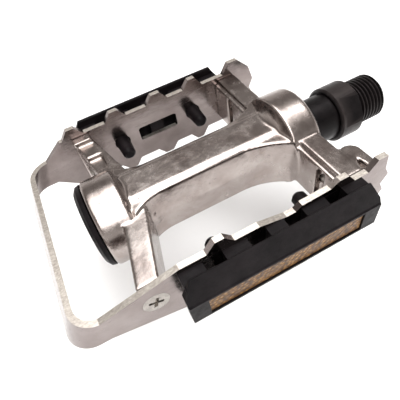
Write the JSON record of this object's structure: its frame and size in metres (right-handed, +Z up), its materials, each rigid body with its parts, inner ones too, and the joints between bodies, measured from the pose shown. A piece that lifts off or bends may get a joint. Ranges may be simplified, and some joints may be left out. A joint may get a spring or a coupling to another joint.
{
  "type": "bicycle flat pedal",
  "caption": "Right-hand flat bicycle pedal: cast body turning on a threaded spindle, toothed sheet cage and a clip-in reflector on each side.",
  "frame": {"origin": "on the spindle axis, in the plane of the shoulder that seats against the crank arm", "axes": "+X along the spindle, towards the crank; -Y towards the front side plate; +Z up, square to the tread"},
  "size_m": [0.1129, 0.0744, 0.0278],
  "materials": {
    "cast_aluminium": "bright, lightly polished casting",
    "polished_aluminium": "polished sheet",
    "black_steel": "satin black oxide",
    "bearing_steel": "hardened, ground",
    "zinc_steel": "zinc plated",
    "black_plastic": "satin moulded",
    "seal_rubber": "matt",
    "amber_lens": "prismatic reflector, amber"
  },
  "bodies": {
    "spindle": {"spindle": "black_steel", "outboard_cone": "bearing_steel", "tab_washer": "zinc_steel", "lock_nut": "zinc_steel"},
    "pedal_body": {"inboard_cup": "bearing_steel", "outboard_cup": "bearing_steel", "body_casting": "cast_aluminium", "dust_cap": "black_plastic", "dust_seal": "seal_rubber", "cage": "polished_aluminium", "cage_screw_front_outboard": "zinc_steel", "cage_screw_front_inboard": "zinc_steel", "cage_screw_rear_outboard": "zinc_steel", "cage_screw_rear_inboard": "zinc_steel", "reflector_housing_front": "black_plastic", "reflector_housing_rear": "black_plastic", "reflector_lens_front": "amber_lens", "reflector_lens_rear": "amber_lens"},
    "inboard_ball_set": {"inboard_balls": "bearing_steel"},
    "outboard_ball_set": {"outboard_balls": "bearing_steel"}
  },
  "joints": [
    {"name": "pedal_spin", "type": "hinge", "parent": "spindle", "child": "pedal_body", "pos_m": [0, 0, 0], "axis": [1, 0, 0], "continuous": true},
    {"name": "inboard_balls_orbit", "type": "hinge", "parent": "spindle", "child": "inboard_ball_set", "pos_m": [0, 0, 0], "axis": [1, 0, 0], "continuous": true},
    {"name": "outboard_balls_orbit", "type": "hinge", "parent": "spindle", "child": "outboard_ball_set", "pos_m": [0, 0, 0], "axis": [1, 0, 0], "continuous": true}
  ],
  "couplings": [
    {"joint": "inboard_balls_orbit", "follows": "pedal_spin", "ratio": 0.587},
    {"joint": "outboard_balls_orbit", "follows": "pedal_spin", "ratio": 0.605}
  ]
}
